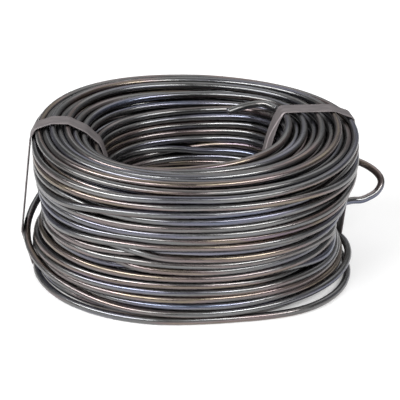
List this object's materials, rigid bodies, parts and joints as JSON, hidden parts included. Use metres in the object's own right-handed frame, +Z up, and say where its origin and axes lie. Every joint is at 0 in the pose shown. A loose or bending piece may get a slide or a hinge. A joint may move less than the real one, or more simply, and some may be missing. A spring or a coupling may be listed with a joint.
{
  "type": "coil of wire rod",
  "caption": "Hand coil of dark round steel wire rod, one length wound in many loose layers round an open bore and held by flat straps, its ends left sticking out.",
  "frame": {"origin": "on the bore's axis, in the plane of the floor turns that the coil rests on", "axes": "+Z up along the bore's axis, +X to the right as the picture shows it, through the outer end's eye, +Y away from the camera"},
  "size_m": [0.2723, 0.248, 0.1149],
  "materials": {
    "rod": "dark heat-tinted scale, satin",
    "strap": "dark grey, matt"
  },
  "bodies": {
    "root": {"wire_coil": "rod", "strap_left": "strap", "strap_right": "strap"}
  },
  "joints": []
}
